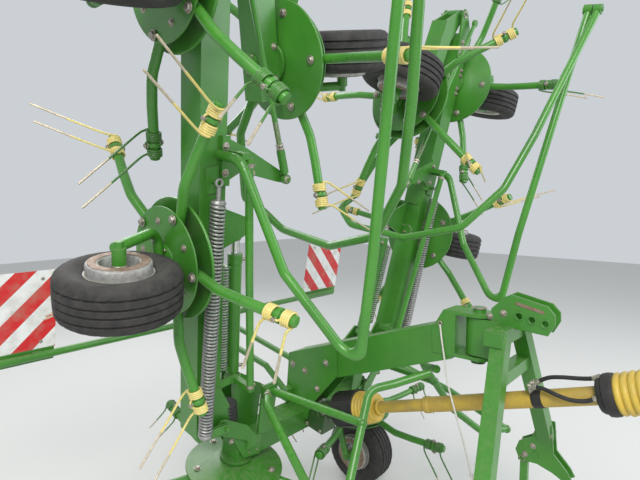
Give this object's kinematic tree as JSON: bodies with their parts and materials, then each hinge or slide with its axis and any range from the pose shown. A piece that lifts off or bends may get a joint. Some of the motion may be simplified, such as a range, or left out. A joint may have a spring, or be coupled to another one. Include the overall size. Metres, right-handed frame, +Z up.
{
  "type": "hay tedder",
  "caption": "Mounted hay tedder folded upright for the road: hinged wing beams with spring-tined rotors and small wheels, swinging three-point headstock and guarded drive shaft.",
  "frame": {"origin": "on the ground, under the middle of the machine seen from above", "axes": "+X forward to the tractor, +Y left, +Z up"},
  "size_m": [2.6348, 2.9958, 3.2983],
  "materials": {
    "green_paint": "gloss enamel, scuffed",
    "dark_green": "oily enamel",
    "spring_yellow": "powder coat, worn",
    "guard_yellow": "dusty",
    "steel": "galvanised",
    "rim_steel": "chipped grey-white paint",
    "tyre_rubber": "dusty",
    "black_rubber": "matt",
    "white_rope": "braided",
    "board_red_white": "reflective film"
  },
  "bodies": {
    "frame": {"centre_frame": "green_paint", "drawbar": "green_paint", "gearbox": "dark_green", "front_guard": "green_paint", "rear_frame": "green_paint", "warning_boards": "board_red_white", "pto_tube": "guard_yellow", "pto_cones": "guard_yellow", "rope": "white_rope", "hose_upper": "black_rubber", "hose_lower": "black_rubber"},
    "headstock": {"headstock": "green_paint"},
    "stand_right": {"stand_right": "green_paint"},
    "stand_left": {"stand_left": "green_paint"},
    "wing_right": {"wing_beam_right": "green_paint"},
    "outer_right": {"outer_beam_right": "green_paint"},
    "link_right": {"link_rod_right": "green_paint"},
    "spring_right": {"lift_spring_right": "steel"},
    "barrel_right": {"fold_barrel_right": "green_paint"},
    "rod_right": {"fold_rod_right": "steel"},
    "wing_left": {"wing_beam_left": "green_paint"},
    "outer_left": {"outer_beam_left": "green_paint"},
    "link_left": {"link_rod_left": "green_paint"},
    "spring_left": {"lift_spring_left": "steel"},
    "barrel_left": {"fold_barrel_left": "green_paint"},
    "rod_left": {"fold_rod_left": "steel"},
    "rotor_1_right": {"rotor_1_right": "green_paint", "tines_1_right": "spring_yellow"},
    "wheel_1_right": {"rim_1_right": "rim_steel", "tyre_1_right": "tyre_rubber"},
    "rotor_2_right": {"rotor_2_right": "green_paint", "tines_2_right": "spring_yellow"},
    "wheel_2_right": {"rim_2_right": "rim_steel", "tyre_2_right": "tyre_rubber"},
    "rotor_3_right": {"rotor_3_right": "green_paint", "tines_3_right": "spring_yellow"},
    "wheel_3_right": {"rim_3_right": "rim_steel", "tyre_3_right": "tyre_rubber"},
    "rotor_4_right": {"rotor_4_right": "green_paint", "tines_4_right": "spring_yellow"},
    "wheel_4_right": {"rim_4_right": "rim_steel", "tyre_4_right": "tyre_rubber"},
    "rotor_1_left": {"rotor_1_left": "green_paint", "tines_1_left": "spring_yellow"},
    "wheel_1_left": {"rim_1_left": "rim_steel", "tyre_1_left": "tyre_rubber"},
    "rotor_2_left": {"rotor_2_left": "green_paint", "tines_2_left": "spring_yellow"},
    "wheel_2_left": {"rim_2_left": "rim_steel", "tyre_2_left": "tyre_rubber"},
    "rotor_3_left": {"rotor_3_left": "green_paint", "tines_3_left": "spring_yellow"},
    "wheel_3_left": {"rim_3_left": "rim_steel", "tyre_3_left": "tyre_rubber"},
    "rotor_4_left": {"rotor_4_left": "green_paint", "tines_4_left": "spring_yellow"},
    "wheel_4_left": {"rim_4_left": "rim_steel", "tyre_4_left": "tyre_rubber"}
  },
  "joints": [
    {"name": "rotor_1_right_spin", "type": "hinge", "parent": "frame", "child": "rotor_1_right", "pos_m": [-0.41707, -0.4835, 0.49301], "axis": [0.1908, 0, 0.9816], "continuous": true},
    {"name": "headstock_swing", "type": "hinge", "parent": "frame", "child": "headstock", "pos_m": [0.60709, 0, 1.23], "axis": [0, 0, 1], "range_deg": [-15, 15]},
    {"name": "stand_right_slide", "type": "slide", "parent": "headstock", "child": "stand_right", "axis": [0, 0, 1], "range_m": [0, 0.26]},
    {"name": "stand_left_slide", "type": "slide", "parent": "headstock", "child": "stand_left", "axis": [0, 0, 1], "range_m": [0, 0.26]},
    {"name": "wing_right_fold", "type": "hinge", "parent": "frame", "child": "wing_right", "pos_m": [-0.36746, -0.579, 0.74823], "axis": [0.9816, 0, -0.1908], "range_deg": [0, 84.3]},
    {"name": "outer_right_fold", "type": "hinge", "parent": "wing_right", "child": "outer_right", "pos_m": [0.04882, -0.85706, 2.88982], "axis": [0.9816, 0, -0.1908], "range_deg": [0, 171]},
    {"name": "link_right_turn", "type": "hinge", "parent": "wing_right", "child": "link_right", "pos_m": [-0.04517, -0.49023, 1.8822], "axis": [-0.9816, 0, 0.1908], "range_deg": [0, 8.56]},
    {"name": "spring_right_turn", "type": "hinge", "parent": "frame", "child": "spring_right", "pos_m": [-0.25184, -0.665, 0.79275], "axis": [0.9816, 0, -0.1908], "range_deg": [0, 91.85]},
    {"name": "barrel_right_turn", "type": "hinge", "parent": "frame", "child": "barrel_right", "pos_m": [-0.38372, -0.52, 0.95286], "axis": [0.9816, 0, -0.1908], "range_deg": [0, 91.02]},
    {"name": "rod_right_slide", "type": "slide", "parent": "barrel_right", "child": "rod_right", "axis": [0.1897, -0.1078, 0.9759], "range_m": [0, 0.25782]},
    {"name": "wing_left_fold", "type": "hinge", "parent": "frame", "child": "wing_left", "pos_m": [-0.36746, 0.579, 0.74823], "axis": [-0.9816, 0, 0.1908], "range_deg": [0, 84.3]},
    {"name": "outer_left_fold", "type": "hinge", "parent": "wing_left", "child": "outer_left", "pos_m": [0.04882, 0.85706, 2.88982], "axis": [-0.9816, 0, 0.1908], "range_deg": [0, 171]},
    {"name": "link_left_turn", "type": "hinge", "parent": "wing_left", "child": "link_left", "pos_m": [-0.04517, 0.49023, 1.8822], "axis": [0.9816, 0, -0.1908], "range_deg": [0, 8.56]},
    {"name": "spring_left_turn", "type": "hinge", "parent": "frame", "child": "spring_left", "pos_m": [-0.25184, 0.665, 0.79275], "axis": [-0.9816, 0, 0.1908], "range_deg": [0, 91.85]},
    {"name": "barrel_left_turn", "type": "hinge", "parent": "frame", "child": "barrel_left", "pos_m": [-0.38372, 0.52, 0.95286], "axis": [-0.9816, 0, 0.1908], "range_deg": [0, 91.02]},
    {"name": "rod_left_slide", "type": "slide", "parent": "barrel_left", "child": "rod_left", "axis": [0.1897, 0.1078, 0.9759], "range_m": [0, 0.25782]},
    {"name": "wheel_1_right_spin", "type": "hinge", "parent": "frame", "child": "wheel_1_right", "pos_m": [-0.37157, -0.512, 0.203], "axis": [0, -1, 0], "continuous": true},
    {"name": "rotor_2_right_spin", "type": "hinge", "parent": "wing_right", "child": "rotor_2_right", "pos_m": [-0.20692, -0.92427, 1.57414], "axis": [0.019, 0.9951, 0.0975], "continuous": true},
    {"name": "wheel_2_right_spin", "type": "hinge", "parent": "wing_right", "child": "wheel_2_right", "pos_m": [-0.1194, -1.19608, 1.50032], "axis": [0.1899, -0.0993, 0.9768], "continuous": true},
    {"name": "rotor_3_right_spin", "type": "hinge", "parent": "wing_right", "child": "rotor_3_right", "pos_m": [-0.02332, -1.02031, 2.51868], "axis": [0.019, 0.9951, 0.0975], "continuous": true},
    {"name": "wheel_3_right_spin", "type": "hinge", "parent": "wing_right", "child": "wheel_3_right", "pos_m": [0.0642, -1.29212, 2.44486], "axis": [0.1899, -0.0993, 0.9768], "continuous": true},
    {"name": "rotor_4_right_spin", "type": "hinge", "parent": "outer_right", "child": "rotor_4_right", "pos_m": [-0.05353, -0.50957, 2.36329], "axis": [-0.0484, -0.9673, -0.2491], "continuous": true},
    {"name": "wheel_4_right_spin", "type": "hinge", "parent": "outer_right", "child": "wheel_4_right", "pos_m": [0.06326, -0.24984, 2.44002], "axis": [-0.1846, 0.2538, -0.9495], "continuous": true},
    {"name": "rotor_1_left_spin", "type": "hinge", "parent": "frame", "child": "rotor_1_left", "pos_m": [-0.41707, 0.4835, 0.49301], "axis": [0.1908, 0, 0.9816], "continuous": true},
    {"name": "wheel_1_left_spin", "type": "hinge", "parent": "frame", "child": "wheel_1_left", "pos_m": [-0.37157, 0.512, 0.203], "axis": [0, 1, 0], "continuous": true},
    {"name": "rotor_2_left_spin", "type": "hinge", "parent": "wing_left", "child": "rotor_2_left", "pos_m": [-0.20692, 0.92427, 1.57414], "axis": [0.019, -0.9951, 0.0975], "continuous": true},
    {"name": "wheel_2_left_spin", "type": "hinge", "parent": "wing_left", "child": "wheel_2_left", "pos_m": [-0.1194, 1.19608, 1.50032], "axis": [0.1899, 0.0993, 0.9768], "continuous": true},
    {"name": "rotor_3_left_spin", "type": "hinge", "parent": "wing_left", "child": "rotor_3_left", "pos_m": [-0.02332, 1.02031, 2.51868], "axis": [0.019, -0.9951, 0.0975], "continuous": true},
    {"name": "wheel_3_left_spin", "type": "hinge", "parent": "wing_left", "child": "wheel_3_left", "pos_m": [0.0642, 1.29212, 2.44486], "axis": [0.1899, 0.0993, 0.9768], "continuous": true},
    {"name": "rotor_4_left_spin", "type": "hinge", "parent": "outer_left", "child": "rotor_4_left", "pos_m": [-0.05353, 0.50957, 2.36329], "axis": [-0.0484, 0.9673, -0.2491], "continuous": true},
    {"name": "wheel_4_left_spin", "type": "hinge", "parent": "outer_left", "child": "wheel_4_left", "pos_m": [0.06326, 0.24984, 2.44002], "axis": [-0.1846, -0.2538, -0.9495], "continuous": true}
  ],
  "couplings": [
    {"joint": "outer_right_fold", "follows": "wing_right_fold", "ratio": 2.0285},
    {"joint": "link_right_turn", "follows": "wing_right_fold", "ratio": 0.10152},
    {"joint": "spring_right_turn", "follows": "wing_right_fold", "ratio": 1.0896},
    {"joint": "barrel_right_turn", "follows": "wing_right_fold", "ratio": 1.0797},
    {"joint": "rod_right_slide", "follows": "wing_right_fold", "m_per_rad": 0.17523},
    {"joint": "outer_left_fold", "follows": "wing_left_fold", "ratio": 2.0285},
    {"joint": "link_left_turn", "follows": "wing_left_fold", "ratio": 0.10152},
    {"joint": "spring_left_turn", "follows": "wing_left_fold", "ratio": 1.0896},
    {"joint": "barrel_left_turn", "follows": "wing_left_fold", "ratio": 1.0797},
    {"joint": "rod_left_slide", "follows": "wing_left_fold", "m_per_rad": 0.17523},
    {"joint": "rotor_2_right_spin", "follows": "rotor_1_right_spin", "ratio": -1},
    {"joint": "rotor_3_right_spin", "follows": "rotor_1_right_spin", "ratio": 1},
    {"joint": "rotor_4_right_spin", "follows": "rotor_1_right_spin", "ratio": -1},
    {"joint": "rotor_1_left_spin", "follows": "rotor_1_right_spin", "ratio": -1},
    {"joint": "rotor_2_left_spin", "follows": "rotor_1_right_spin", "ratio": 1},
    {"joint": "rotor_3_left_spin", "follows": "rotor_1_right_spin", "ratio": -1},
    {"joint": "rotor_4_left_spin", "follows": "rotor_1_right_spin", "ratio": 1}
  ]
}
